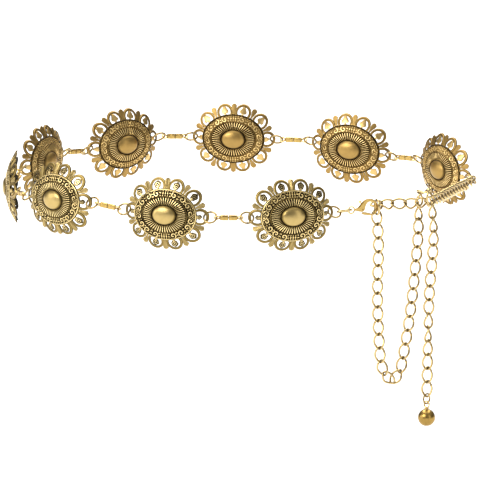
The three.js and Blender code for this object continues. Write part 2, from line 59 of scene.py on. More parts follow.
# Medallion plate: shares are of the plate's ellipse
PLATE_X = 22.5
PLATE_Y = 17.75
PLATE_ANGLES = 500
MEDALLION_SMOOTH = 40  # degrees between faces that are shaded as one
PLATE_ROWS = [  # first share, last share and number of rows in each band
    (0.012, 0.352, 12), (0.36, 0.405, 5), (0.415, 0.64, 8), (0.65, 0.715, 8), (0.722, 0.93, 21),
    (0.937, 1, 8),
]
PLATE_FRONT = [  # share and height
    (0, 8.0), (0.37, 7.1), (0.4, 7.15), (0.52, 6.85), (0.66, 6.2), (0.8, 5.4), (0.94, 4.55), (1, 4.1),
]
PLATE_SINK = 0.25
PLATE_BACK = [(0, 8.4), (0.22, 7.4), (0.36, 6.4), (0.66, 4.9), (1, 2.9)]
BACK_SHARES = [1, 0.985, 0.9, 0.78, 0.66, 0.5, 0.36, 0.22, 0.1, 0.02]
BACK_EDGE_DROP = 0.2
BACK_LEVEL = 0.45
# painted shade: the plate's side wall, down to the border, is nearly black, as in the gap between plate and
# border
WALL_SHADE_LEVEL = 0.05
BOSS_SHARE = 0.372
BOSS_FOOT = 7.0
BOSS_RISE = 2.75
BOSS_ROUNDNESS = 0.55
BOSS_SINK = 0.3
BOSS_EDGE = 0.05
BOSS_EDGE_LEVEL = 0.3
FRONT_BOSS_LEVEL = 0.68
# painted shade: the far medallions' boss is darker than the front ones', though both are the same casting
FAR_BOSS_SHADE_LEVEL = 0.58
FLUTES = 50
FLUTE_BAND = (0.385, 0.69)
FLUTE_FADE = (0.3, 0.5)
FLUTE_SOFT = 0.03
FLUTE_RISE = 0.42
FLUTE_LEVEL = 0.9
BEAD_BAND = (0.69, 0.72)
BEAD_SOFT = 0.018
BEAD_RISE = 0.4
BEAD_LEVEL = 0.85
SCROLL_BAND = (0.725, 0.945)
SCROLL_SOFT = 0.012
SCROLL_RISE = 0.4
SCROLL_LEVEL = 0.85
RIM_START = (0.945, 0.958)
RIM_END = (0.975, 0.99)
RIM_RISE = 0.42
RIM_LEVEL = 0.9
FAR_SCROLL_LEVEL = 0.36  # the far medallions have lighter recesses between the scrolls
# painted shadow: on the far medallions the plate's rim and edge are a dark outline round the plate
FAR_OUTLINE_SHADE_LEVEL = 0.1

# Pattern of the scroll band: a mean says how wide the ridges are against the recesses
RIDGE_SWING = 1.3
FLUTE_MEAN = 0.3
CHEVRON_MEAN = 0.4
CHEVRON_DEPTH = 5.1
CHEVRON_SLOPE = 1.4
CHEVRON_PITCH = 1.7
CHEVRON_LIMIT = 45
SCROLL_START = 20
SCROLL_CELLS = 7
VOLUTE_MEAN = 0.42
VOLUTE_PITCH = 1.8
VOLUTE_END = (2.3, 2.5)
LEAF_MEAN = 0.35
LEAF_PITCH = 1.9
LEAF_SPREAD = 0.32
LEAF_START = (2.4, 2.6)
LATTICE_MEAN = 0.4
LATTICE_WEIGHTS = (0.8, 0.4)
LATTICE_PITCHES = (1.7, 1.9)

# Medallion border: arches with flowers in them, and fans between the arches
BORDER_RISE = 3.5
BORDER_REACH = 6.5
ARCH_MIDDLES = [(24.1, 0), (18.7, 12.5), (6.5, 18.7)]
ARCH_RADIUS = 4.85
ARCH_HALF_BAND = 0.95
ARCH_HALF_ANGLE = 128
ARCH_STEPS = 30
ARCH_SECTION = [  # share of the half band, height and level
    (-1, -0.55, 0.03), (1, -0.55, 0.05), (1, 0.15, 0.32), (0.72, 0.5, 0.64), (0.3, 0.56, 0.54),
    (0, 0.42, 0.24), (-0.3, 0.56, 0.5), (-0.72, 0.5, 0.56), (-1, 0.15, 0.08),
]
FAN_FOOT = -3
FAN_LONG = 8.95
FAN_NARROW = 0.7
FAN_SPREAD = 1.15
FAN_OPENING = (0.3, 0.95)
FAN_ROWS = 12
FAN_COLUMNS = 20
FAN_HALF_LEAVES = 2.5
FAN_LEAF_POWER = 0.7
FAN_TIP = (0.8, 0.35, 1.2)  # how far each leaf's tip reaches, the fan's setback, and its curve
FAN_ROUNDNESS = 1.1
FAN_HEIGHT = 0.2
FAN_RISE = 0.45
FAN_SIDE_DROP = 0.4
FAR_FAN_RISE = (0.5, 0.2)
FAN_GROOVE_LIMIT = 0.6
FAN_BACK = -0.55
FAN_BACK_LEVEL = 0.3
FAN_LEVEL = 0.72
FAN_GROOVE_LEVEL = 0.5
FAR_FAN_LEVEL = 0.54
FLOWER_SIDES = 30
FLOWER_END = (-0.35, 1.7)  # how far out its middle is, and its radius
FLOWER_SIDE = (1.15, 2.4)
FRONT_FLOWER = [  # share of the radius, height and level
    (0.06, 0.75, 0.95), (0.17, 0.7, 0.9), (0.22, 0.25, 0.0), (0.42, 0.25, 0.0), (0.48, 0.68, 0.9),
    (0.6, 0.68, 0.9), (0.66, 0.22, 0.0), (0.86, 0.22, 0.0), (0.91, 0.58, 0.8), (0.97, 0.56, 0.7),
    (1.0, 0.2, 0.1), (1.0, -0.5, 0.0), (0.5, -0.5, 0.3), (0.1, -0.5, 0.3),
]
FAR_FLOWER = [
    (0.1, 0.62, 0.8), (0.3, 0.6, 0.78), (0.6, 0.56, 0.75), (0.85, 0.52, 0.75), (0.97, 0.42, 0.7),
    (1.0, 0.1, 0.4), (1.0, -0.5, 0.2), (0.5, -0.5, 0.3), (0.1, -0.5, 0.3),
]
FRONT_PETALS = (5, 0.07)  # how many, and how far they stand out
FAR_PETALS = (3, 0.2)
STEM_FOOT = [(-4.2, 1.15), (-2.6, 0.85)]
STEM_HALF = 0.75
STEM_END = 0.6
STEM_SECTION = [
    (-1, -0.5, 0.2), (1, -0.5, 0.2), (1, 0.2, 0.6), (0.6, 0.42, 0.85), (-0.6, 0.42, 0.85), (-1, 0.2, 0.6),
]

# Rings, bars and links
RING_RADIUS = 4.4
RING_WIRE = 0.62
RING_TUBE = 0.7  # the round wire seen, a little fuller than the solids' four-sided one
RING_SLIT = 0.12
RING_STEPS = 56
RING_SIDES = 12
RING_TILT = 44
RING_CONTACT = 26.3
RING_LIFT = 0.5
RING_LEVEL = 0.7
SLIT_LEVEL = 0.2
BAR_SPAN = 16.2
EYE_RADIUS = 1.75
EYE_WIRE = 0.5
EYE_LEVEL = 0.85
EYE_STEPS = 32
EYE_SIDES = 10
LARGE_EYE_STEPS = 40
LARGE_EYE_SIDES = 12
SLEEVE_LONG = 5.6
SLEEVE_TALL = 3.7
SLEEVE_THICK = 1.7
SLEEVE_SEAM = 0.3
SLEEVE_CORNER = 0.55
SLEEVE_SHINE = 0.8
SLEEVE_START_ROWS = [  # distance from the sleeve's start, shares of height and thickness, and level
    (0, 0.7, 0.6, 0.05), (0, 0.9, 0.86, 0.3), (0.14, 1, 0.98, 0.85), (0.5, 1, 1, 1),
    (0.66, 0.965, 0.93, 0.5), (0.82, 1, 1, 0.92),
]
SLEEVE_MIDDLE_LEVEL = 0.86
SLEEVE_END_ROWS = [  # the same, but back from the sleeve's end
    (0.82, 1, 1, 0.92), (0.66, 0.965, 0.93, 0.5), (0.5, 1, 1, 1), (0.14, 0.97, 0.96, 0.85),
    (0, 0.8, 0.8, 0.4), (0, 0.5, 0.5, 0.1),
]
NECK_CORNER = 0.9
NECK_SHINE = 0.7
NECK_ROWS = [  # distance past the sleeve's end, half height, half thickness and level
    (-0.3, 0.95, 0.75, 0.2), (0.1, 1.1, 0.85, 0.5), (0.35, 1.15, 0.9, 0.9), (0.6, 0.9, 0.75, 0.7),
]
NECK_END = (0.25, 0.6, 0.55, 0.5)
CORE_HALF = (1, 0.45, 0.45)
CORE_CORNER = 0.8
CORE_LEVEL = 0.02
SEAT_GAP = 0.5
SOLID_WIRE = 0.82  # the solids' three-sided wire
LINK_HALF = 5.18
LINK_HALF_WIDTH = 3.35
LINK_TWIST = 45
LINK_WIRE = 0.77
LINK_STEPS = 44
LINK_SIDES = 10
LINK_END_WEIGHT = 0.4
LINK_LEVEL = 0.92
# painted shade on the links: deepest where the next link touches, lighter on the wire's inner side
LINK_CONTACT_SHADE = 0.5
LINK_INNER_SHADE = 0.12
HALF_GAP = 1.58
LOOP_LINKS = 20
LOOP_SPLIT = 10
LOOP_ROLLS = {17: 15, 18: 30, 19: 45}

# Clasp, end ring and ball drop
CLASP_THICK = 1.8
CLASP_EDGE = 0.42
CLASP_ROUNDING = 3  # how often an outline's corners are cut
GATE_THICK = 1.2
GATE_EDGE = 0.3
GATE_ROUNDING = 2
EDGE_STEPS = 3
CLASP_FACE_LEVEL = 0.72
CLASP_SIDE_SHADE = 0.45
CLASP_EYE_X = -3.1
CLASP_EYE_RADIUS = 2.3
CLASP_EYE_WIRE = 0.5
CLASP_LINK_HEADING = 32
CLASP_LINK_ROLL = -18
CLASP_HEADING = 26
NUB_PLACE = (3.3, 0, 5.2)
NUB_PROFILE = [
    (0.05, 1.0), (0.45, 0.93), (0.78, 0.6), (0.9, 0.15), (0.86, -0.3), (0.6, -0.68), (0.05, -0.85),
]
NUB_STEM_PLACE = Vector((4.55, 0, 3.75))
NUB_STEM_LEAN = -130
NUB_STEM_ROWS = [(0, 0.42, 0.3), (1.9, 0.38, 0.3)]
NUB_STEM_CORNER = 0.9
NUB_STEM_SIDES = 16
NUB_STEM_LEVEL = 0.7
NUB_LEVEL = 0.95
NUB_SIDES = 24
RIVET_PLACE = (5.4, -0.35)
RIVET_PROFILE = [(0.05, 0.16), (0.372, 0.112), (0.62, 0)]  # radius, and rise over the clasp's face
RIVET_SIDES = 24
RIVET_LEVEL = 0.6
HOOKED_LINK = {"along": 16.8, "side": 0.65, "up": 0.35}
TAIL_SIDE = 1.25
PULL_HEADING = 54
TAIL_SEAT = 1.7
CHAIN_SEAT = 1.25
PULL_REACH = 1.35
PULL_UP = 0.6
PULL_SIDE = 0.9
END_RING_RADIUS = 3.4
END_RING_WIRE = 0.6
END_RING_TURN = 50
DROP_EYE_RADIUS = 2.2
DROP_EYE_WIRE = 0.5
BALL_RADIUS = 6
BALL_TOP_ANGLE = 0.24
BALL_ROWS = 25
BALL_SIDES = 64
BALL_LEVEL = 0.6
DROP_LENGTH = 9.2
COLLAR = [  # radius, height over the ball's top and level
    (1.5, 0.05, 0.1), (1.72, 0.2, 0.75), (1.72, 0.45, 0.95), (1.45, 0.62, 0.7), (0.95, 0.7, 0.3),
    (0.85, 0.95, 0.6), (0.05, 1.1, 0.6),
]
CLASP_BODY = [
    (-1, 0.6), (1, 0.9), (2.4, 1.6), (4.4, 3.8), (6.6, 6), (9.6, 7), (12.8, 6.6), (15.5, 4.9), (17, 2.2),
    (17.1, -0.9), (16, -3.2), (14.4, -4.5), (13.1, -4.7), (12.9, -3.4), (14.1, -3), (14.9, -1.8),
    (15.2, 0.4), (14.5, 3), (12.6, 4.7), (10, 4.9), (8.2, 3.7), (7.3, 1.2), (6.8, -1), (5.2, -1.9),
    (3, -1.6), (1, -0.9), (-1, -0.6),
]
CLASP_GATE = [(4.4, -2.4), (6.6, -1.9), (12.6, -3.6), (12.6, -4.8), (9, -4.5), (5, -3.6)]

# The belt's way round the waist: heading, slope, facing, and the connector's heading and slope
FIRST_MIDDLE = Vector((33, -141.8, 0))
PIECES = [
    (195, -1, 1, 178, 0),
    (162, 2, 1, 152, 6),
    (138, -2, 1, 110, -6),
    (91, -3, 1, 85, 9),
    (61, 2, -1, 53, -5),
    (34, 4, -1, 23, -4),
    (-6, -1, -1, -15, 1),
    (-18, -8, -1, -41, 3),
    (-55, -5, -1, None, None),
]
LOOP_GUIDE = [
    (157.5, 34, -11), (149.5, 0, -8), (142.5, -30, -5.8), (135, -61, -3.5), (126.5, -87, -1.6),
    (114, -98.5, -0.3), (100, -104.5, 0.5),
]
TAIL_GUIDE = [
    (92.8, -116.4, -22), (92.2, -116.2, -60), (93.6, -115.6, -95), (95.4, -114.5, -111),
    (101, -112, -122), (106.6, -109, -119.5), (109.3, -106.5, -110), (114.5, -101, -80),
    (117.9, -96, -52), (120.6, -89.5, -22), (120.8, -86.6, -8), (121, -86, 3), (125, -89.2, 10),
    (129, -92.4, 3), (130, -93.2, -8), (131.1, -94, -22), (129.9, -94, -42), (128.3, -94, -61),
    (127.6, -94, -88), (126.8, -94, -134.3),
]
CURVE_STEPS = 160
TAIL_LINKS = 43
TAIL_PARTS = [
    ("tail_left", 0), ("tail_turn", 12), ("tail_middle", 15), ("tail_drape", 26), ("tail_right", 30),
]
DRAPE_LINKS = (25, 30)
DRAPE_HEADING = 56
TAIL_FACES = [  # link number and the heading of its face
    (0, 87), (2, 90), (23, 90), (26, 142), (30, 142), (32, 96), (36, 96), (37, 130), (38, 155),
    (39, 120), (41, 90),
]

# Metals
CLOUD_SCALE = 90
GRAIN_SCALE = 900
BLOTCH_SCALE = 28
GRAIN_STRENGTH = 0.12
GRAIN_DEPTH = 0.0002
WORN_SHARE = 0.3
RAMP_PLACES = (0.0, 0.32, 0.62, 0.96)

# Floor, lights and surroundings, in metres
FLOOR_HEIGHT = -0.17
FLOOR_ROWS = [0.3, 0.8, 1.6, 3, 9]
FLOOR_SIDES = 96
FLOOR_COLOUR = (0.9, 0.9, 0.89)
FLOOR_ROUGHNESS = 0.9
LIGHTS = [  # name, place, target, size and power
    ("key", (-1.5, -1.7, 1.3), (0, 0, 0), (1.5, 1.3), 48),
    ("fill", (1.5, -1.5, 0.5), (0, 0, 0), (0.6, 1.4), 5),
    ("side", (-2.3, -0.4, 0.5), (0, 0, 0), (1.2, 1.0), 12),
    ("top", (0, 0.9, 2.4), (0, 0.7, 0), (3, 2.4), 92),
    ("behind", (0, 2.4, 2.2), (0, 2.6, 0), (3.4, 1.6), 60),
]
WORLD_STOPS = [(0.0, 0.22), (0.12, 0.08), (0.45, 0.3), (0.9, 0.6)]  # height of the direction, and grey


def add_camera():
    tilt = math.radians(CAMERA_TILT)
    look = Vector((0, math.cos(tilt), -math.sin(tilt)))
    above = Vector((0, math.sin(tilt), math.cos(tilt)))
    middle = IMAGE_SIZE / 2
    aside = (middle - ORIGIN_PIXEL[0]) * CAMERA_SCALE
    below = (middle - ORIGIN_PIXEL[1]) * CAMERA_SCALE
    place = (Vector((aside, 0, 0)) - above * below - look * CAMERA_DISTANCE) * MM
    data = bpy.data.cameras.new("camera")
    data.sensor_width = SENSOR
    data.lens = SENSOR * CAMERA_DISTANCE / (IMAGE_SIZE * CAMERA_SCALE)
    data.clip_end = CAMERA_CLIP
    camera = bpy.data.objects.new("camera", data)
    camera.matrix_world = Matrix.Translation(place) @ Matrix.Rotation(math.pi / 2 - tilt, 4, "X")
    bpy.context.scene.collection.objects.link(camera)
    bpy.context.scene.camera = camera


add_camera()


# Mesh helpers

class Form:
    """Gathers the points and faces of one piece, with a level for each point."""

    def __init__(self):
        self.points = []
        self.faces = []
        self.levels = []

    def add(self, points, faces, levels):
        start = len(self.points)
        self.points.extend(tuple(p) for p in points)
        self.faces.extend(tuple(start + i for i in face) for face in faces)
        self.levels.extend(levels if hasattr(levels, "__len__") else [levels] * len(points))

    def grid(self, rows, levels, closed=False, caps=False):
        """Faces between rows of points. Each row is a loop; closed joins the last row to the first."""
        count = len(rows)
        width = len(rows[0])
        faces = []
        for r in range(count if closed else count - 1):
            n = (r + 1) % count
            for c in range(width):
                d = (c + 1) % width
                faces.append((r * width + c, r * width + d, n * width + d, n * width + c))
        if caps:
            faces.append(tuple(range(width))[::-1])
            faces.append(tuple((count - 1) * width + c for c in range(width)))
        self.add([point for row in rows for point in row], faces, levels)

    def object(self, name, material, smooth_angle=50):
        mesh = bpy.data.meshes.new(name)
        mesh.from_pydata([tuple(c * MM for c in p) for p in self.points], [], self.faces)
        layer = mesh.attributes.new("relief", "FLOAT", "POINT")
        layer.data.foreach_set("value", np.clip(np.array(self.levels, dtype=np.float32), 0, 1))
        build = bmesh.new()
        build.from_mesh(mesh)
        bmesh.ops.recalc_face_normals(build, faces=build.faces)
        build.to_mesh(mesh)
        build.free()
        mesh.shade_smooth()
        mesh.set_sharp_from_angle(angle=math.radians(smooth_angle))
        mesh.materials.append(material)
        thing = bpy.data.objects.new(name, mesh)
        bpy.context.scene.collection.objects.link(thing)
        return thing


used = set()


def instance(source, name):
    """The piece itself the first time, then new objects with its mesh."""
    if source.name not in used:
        source.name = name
        used.add(source.name)
        return source
    thing = bpy.data.objects.new(name, source.data)
    bpy.context.scene.collection.objects.link(thing)
    return thing


def put(thing, matrix, node, body="belt"):
    """Places a piece, in millimetres, hangs it on its body and hides the CAD node that it stands for."""
    placed = matrix.copy()
    placed.translation = placed.translation * MM
    thing.matrix_world = placed
    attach(thing, body)
    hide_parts(node)


def along(middle, direction, face):
    """A frame with x along the direction and z as near to the face as that allows."""
    x = direction.normalized()
    z = (face - x * face.dot(x)).normalized()
    y = z.cross(x)
    matrix = Matrix((x, y, z)).transposed().to_4x4()
    matrix.translation = middle
    return matrix


def bearing(heading, slope=0):
    flat = math.cos(math.radians(slope))
    angle = math.radians(heading)
    return Vector((flat * math.cos(angle), flat * math.sin(angle), math.sin(math.radians(slope))))


def outward_of(direction):
    return UP.cross(direction).normalized()


def turned(vector, axis, degrees):
    return Matrix.Rotation(math.radians(degrees), 3, axis) @ vector


def smooth_step(low, high, value):
    share = np.clip((value - low) / (high - low), 0, 1)
    return share * share * (3 - 2 * share)


def circle(radius, steps):
    angles = [CIRCLE * i / steps for i in range(steps)]
    return [(radius * math.cos(angle), radius * math.sin(angle)) for angle in angles]


def tube_rows(path, section, closed, start_normal=None):
    """Rows of points round a path, with the section carried along it without twisting."""
    count = len(path)
    tangents = []
    for i in range(count):
        before = path[(i - 1) % count] if closed or i > 0 else path[i]
        after = path[(i + 1) % count] if closed or i < count - 1 else path[i]
        tangents.append((after - before).normalized())
    normal = start_normal or tangents[0].orthogonal().normalized()
    rows = []
    for point, tangent in zip(path, tangents):
        normal = (normal - tangent * normal.dot(tangent)).normalized()
        other = tangent.cross(normal)
        rows.append([point + normal * a + other * b for a, b in section])
    return rows


def lathe_rows(profile, sides, axis_point=(0, 0, 0)):
    """Rows round the z axis: each profile entry is a radius and a height."""
    ox, oy, oz = axis_point
    return [[(ox + x, oy + y, oz + z) for x, y in circle(radius, sides)] for radius, z in profile]


def rounded_rows(profile, corner, sides=28):
    """Rows of rounded rectangles: each profile entry is x, half of the height and half of the thickness."""
    rows = []
    for x, tall, thick in profile:
        row = []
        for k in range(sides):
            angle = CIRCLE * (k + 0.5) / sides
            c = math.cos(angle)
            s = math.sin(angle)
            y = thick * math.copysign(abs(c) ** corner, c)
            z = tall * math.copysign(abs(s) ** corner, s)
            row.append((x, y, z))
        rows.append(row)
    return rows


def repeat(levels, times):
    return [level for level in levels for _ in range(times)]


# Metals: dark patina in the recesses, worn bright where the surface stands out, and painted shade where a
# part's level carries it

def ramp_stops(ramp, stops):
    while len(ramp.elements) < len(stops):
        ramp.elements.new(0.5)
    for element, (place, colour) in zip(ramp.elements, stops):
        element.position = place
        element.color = (*colour, 1)


def metal(name, recess, middle, bright, rough_recess, rough_bright, patina=0.16, tint=None):
    """Colour and roughness follow the level, which noise clouds by the patina. A tint darkens blotches."""
    material = bpy.data.materials.new(name)
    material.use_nodes = True
    nodes = material.node_tree.nodes
    link = material.node_tree.links.new
    shader = nodes["Principled BSDF"]
    shader.inputs["Metallic"].default_value = 1
    relief = nodes.new("ShaderNodeAttribute")
    relief.attribute_name = "relief"
    place = nodes.new("ShaderNodeTexCoord")
    cloud = nodes.new("ShaderNodeTexNoise")
    cloud.inputs["Scale"].default_value = CLOUD_SCALE
    cloud.inputs["Detail"].default_value = 5
    grain = nodes.new("ShaderNodeTexNoise")
    grain.inputs["Scale"].default_value = GRAIN_SCALE
    grain.inputs["Detail"].default_value = 3
    link(place.outputs["Object"], cloud.inputs["Vector"])
    link(place.outputs["Object"], grain.inputs["Vector"])
    spread = nodes.new("ShaderNodeMath")
    spread.operation = "MULTIPLY_ADD"
    spread.inputs[1].default_value = patina
    spread.inputs[2].default_value = -patina / 2
    link(cloud.outputs["Fac"], spread.inputs[0])
    total = nodes.new("ShaderNodeMath")
    total.operation = "ADD"
    total.use_clamp = True
    link(relief.outputs["Fac"], total.inputs[0])
    link(spread.outputs[0], total.inputs[1])
    colours = nodes.new("ShaderNodeValToRGB")
    worn = tuple((1 - WORN_SHARE) * a + WORN_SHARE * b for a, b in zip(recess, middle))
    ramp_stops(colours.color_ramp, list(zip(RAMP_PLACES, (recess, worn, middle, bright))))
    link(total.outputs[0], colours.inputs["Fac"])
    colour = colours.outputs["Color"]
    if tint:
        mix = nodes.new("ShaderNodeMix")
        mix.data_type = "RGBA"
        mix.blend_type = "MULTIPLY"
        mix.inputs["B"].default_value = (*tint, 1)
        blotch = nodes.new("ShaderNodeTexNoise")
        blotch.inputs["Scale"].default_value = BLOTCH_SCALE
        link(place.outputs["Object"], blotch.inputs["Vector"])
        link(blotch.outputs["Fac"], mix.inputs["Factor"])
        link(colour, mix.inputs["A"])
        colour = mix.outputs["Result"]
    link(colour, shader.inputs["Base Color"])
    rough = nodes.new("ShaderNodeMapRange")
    rough.inputs["To Min"].default_value = rough_recess
    rough.inputs["To Max"].default_value = rough_bright
    link(total.outputs[0], rough.inputs["Value"])
    link(rough.outputs["Result"], shader.inputs["Roughness"])
    bump = nodes.new("ShaderNodeBump")
    bump.inputs["Strength"].default_value = GRAIN_STRENGTH
    bump.inputs["Distance"].default_value = GRAIN_DEPTH
    link(grain.outputs["Fac"], bump.inputs["Height"])
    link(bump.outputs["Normal"], shader.inputs["Normal"])
    return material


FRONT_GOLD = metal(
    "antique_gold_front", (0.003, 0.002, 0.002), (0.36, 0.25, 0.08), (0.98, 0.76, 0.36), 0.6, 0.22)
FAR_GOLD = metal(
    "antique_gold_far", (0.006, 0.003, 0.002), (0.47, 0.32, 0.11), (1.0, 0.78, 0.38), 0.6, 0.26,
    patina=0.3, tint=(0.8, 0.66, 0.48))
POLISHED = metal(
    "polished_gold", (0.012, 0.007, 0.003), (0.38, 0.24, 0.065), (0.82, 0.59, 0.22), 0.5, 0.16)
WIRE_GOLD = metal(
    "plated_wire", (0.01, 0.006, 0.003), (0.26, 0.175, 0.065), (0.68, 0.51, 0.24), 0.5, 0.18)


# Medallion

def border_height(x, y):
    """The border slopes down from the plate's edge to its outermost point."""
    share = max(1, math.hypot(x / PLATE_X, y / PLATE_Y))
    beyond = math.hypot(x, y) * (1 - 1 / share)
    return BORDER_RISE * (1 - beyond / BORDER_REACH)


def lifted(point, tall):
    return (point.x, point.y, border_height(point.x, point.y) + tall)


def band_window(share, band, soft):
    """1 inside a band of shares and 0 outside it, with soft edges."""
    return smooth_step(band[0], band[0] + soft, share) * (1 - smooth_step(band[1] - soft, band[1], share))


def ridges(phase, mean):
    return np.clip(mean + RIDGE_SWING * np.cos(CIRCLE * phase), 0, 1)


def scroll_pattern(x, y, angle):
    """Height from 0 in the recess to 1 on the ridges. Each long side has volutes that turn left and right in
    alternation, leaves between them and a lattice in the middle. Each end has nested chevrons."""
    degrees = np.degrees(angle) % 180
    from_end = np.minimum(degrees, 180 - degrees)
    depth = PLATE_X * SCROLL_BAND[1] - np.abs(x) + CHEVRON_SLOPE * np.abs(y)
    in_chevrons = (depth < CHEVRON_DEPTH) & (from_end < CHEVRON_LIMIT)
    chevrons = ridges((depth - CHEVRON_DEPTH) / CHEVRON_PITCH, CHEVRON_MEAN)

    # Each cell's middle on the band, and the place in the cell: outward and to the side of that middle
    width = (180 - 2 * SCROLL_START) / SCROLL_CELLS
    cell = np.floor((degrees - SCROLL_START) / width)
    middle = np.radians(SCROLL_START + (cell + 0.5) * width)
    middle = np.where(np.degrees(angle) % 360 >= 180, middle + math.pi, middle)
    band_middle = sum(SCROLL_BAND) / 2
    off_x = x - band_middle * PLATE_X * np.cos(middle)
    off_y = y - band_middle * PLATE_Y * np.sin(middle)
    normal_x = np.cos(middle) / PLATE_X
    normal_y = np.sin(middle) / PLATE_Y
    length = np.hypot(normal_x, normal_y)
    normal_x = normal_x / length
    normal_y = normal_y / length
    outward = off_x * normal_x + off_y * normal_y
    side = (-off_x * normal_y + off_y * normal_x) * np.where(cell % 2 == 0, 1, -1)

    radius = np.hypot(outward, side)
    turn = np.arctan2(outward, side) / CIRCLE
    volute = ridges(radius / VOLUTE_PITCH - turn, VOLUTE_MEAN) * (1 - smooth_step(*VOLUTE_END, radius))
    leaf = ridges(outward / LEAF_PITCH + LEAF_SPREAD * np.abs(side), LEAF_MEAN)
    leaf = leaf * smooth_step(*LEAF_START, radius)
    lattice = LATTICE_MEAN
    for weight, pitch, across in zip(LATTICE_WEIGHTS, LATTICE_PITCHES, (side, outward)):
        lattice = lattice + weight * np.cos(CIRCLE * across / pitch)
    scroll = np.where(cell == SCROLL_CELLS // 2, lattice, volute + leaf)
    return np.clip(np.where(in_chevrons, chevrons, scroll), 0, 1)


def add_plate(form, detailed):
    """The oval plate as rings of points: the cast front from the boss to the rim, then the hollow back."""
    shares = np.unique(np.concatenate([np.linspace(*band) for band in PLATE_ROWS]))
    angles = np.linspace(0, CIRCLE, PLATE_ANGLES, endpoint=False)
    share, angle = np.meshgrid(shares, angles, indexing="ij")
    x = share * PLATE_X * np.cos(angle)
    y = share * PLATE_Y * np.sin(angle)
    on_boss = share < BOSS_SHARE
    base = np.interp(share, *zip(*PLATE_FRONT))
    flute = ridges(FLUTES * angle / CIRCLE, FLUTE_MEAN) * band_window(share, FLUTE_BAND, FLUTE_SOFT)
    bead = band_window(share, BEAD_BAND, BEAD_SOFT)
    scroll_window = band_window(share, SCROLL_BAND, SCROLL_SOFT)
    scroll = scroll_window * scroll_pattern(x, y, angle)
    rim = smooth_step(*RIM_START, share) * (1 - smooth_step(*RIM_END, share))

    height = base - PLATE_SINK + FLUTE_RISE * flute + BEAD_RISE * bead + SCROLL_RISE * scroll + RIM_RISE * rim
    dome = BOSS_RISE * np.clip(1 - (share / BOSS_SHARE) ** 2, 0, 1) ** BOSS_ROUNDNESS
    height = np.where(on_boss, np.maximum(base - BOSS_SINK, BOSS_FOOT + dome), height)

    level = FLUTE_LEVEL * flute * smooth_step(*FLUTE_FADE, share) + BEAD_LEVEL * bead
    level = level + SCROLL_LEVEL * scroll + RIM_LEVEL * rim
    if not detailed:
        level = np.where(scroll_window > 0.5, np.maximum(level, FAR_SCROLL_LEVEL), level)
        # painted shadow: a dark outline round the far plates' rim
        level = np.where(share > SCROLL_BAND[1], FAR_OUTLINE_SHADE_LEVEL, level)
    boss_level = FRONT_BOSS_LEVEL if detailed else FAR_BOSS_SHADE_LEVEL
    inside = smooth_step(0, BOSS_EDGE, BOSS_SHARE - share)
    level = np.where(on_boss, BOSS_EDGE_LEVEL + (boss_level - BOSS_EDGE_LEVEL) * inside, level)

    rows = list(np.stack([x, y, height], axis=-1))
    levels = list(level)
    back_heights = np.interp(BACK_SHARES, *zip(*PLATE_BACK))
    back_heights[0] = BORDER_RISE - BACK_EDGE_DROP
    for back_share, tall in zip(BACK_SHARES, back_heights):
        at_edge = back_share > BACK_SHARES[2]
        x = back_share * PLATE_X * np.cos(angles)
        y = back_share * PLATE_Y * np.sin(angles)
        rows.append(np.stack([x, y, np.full_like(angles, tall)], axis=-1))
        # the rows of the plate's side wall get painted shade, the hollow back its own level
        levels.append(np.full_like(angles, WALL_SHADE_LEVEL if at_edge else BACK_LEVEL))
    form.grid([row.tolist() for row in rows], np.concatenate(levels).tolist(), caps=True)


def border_frames():
    """Middle, outward and sideways directions of the ten arches, and of the ten fans between them."""
    end, corner, top = ARCH_MIDDLES

    def flip(point, sign_x, sign_y):
        return (point[0] * sign_x, point[1] * sign_y)

    middles = [
        end, corner, top, flip(top, -1, 1), flip(corner, -1, 1), flip(end, -1, 1),
        flip(corner, -1, -1), flip(top, -1, -1), flip(top, 1, -1), flip(corner, 1, -1),
    ]
    middles = [Vector((*point, 0)) for point in middles]
    fans = []
    for index, first in enumerate(middles):
        second = middles[(index + 1) % len(middles)]
        side = (second - first).normalized()
        fans.append(((first + second) / 2, Vector((side.y, -side.x, 0)), side))
    arches = []
    for index, middle in enumerate(middles):
        out = (fans[index - 1][1] + fans[index][1]).normalized()
        arches.append((middle, out, Vector((-out.y, out.x, 0))))
    return arches, fans


def add_arch(form, middle, out, side):
    reach = math.radians(ARCH_HALF_ANGLE)
    rows = []
    for step in range(ARCH_STEPS + 1):
        angle = -reach + 2 * reach * step / ARCH_STEPS
        ray = out * math.cos(angle) + side * math.sin(angle)
        rows.append([lifted(middle + ray * (ARCH_RADIUS + ARCH_HALF_BAND * across), tall)
                     for across, tall, _ in ARCH_SECTION])
    levels = [level for *_, level in ARCH_SECTION]
    form.grid(rows, levels * len(rows), caps=True)


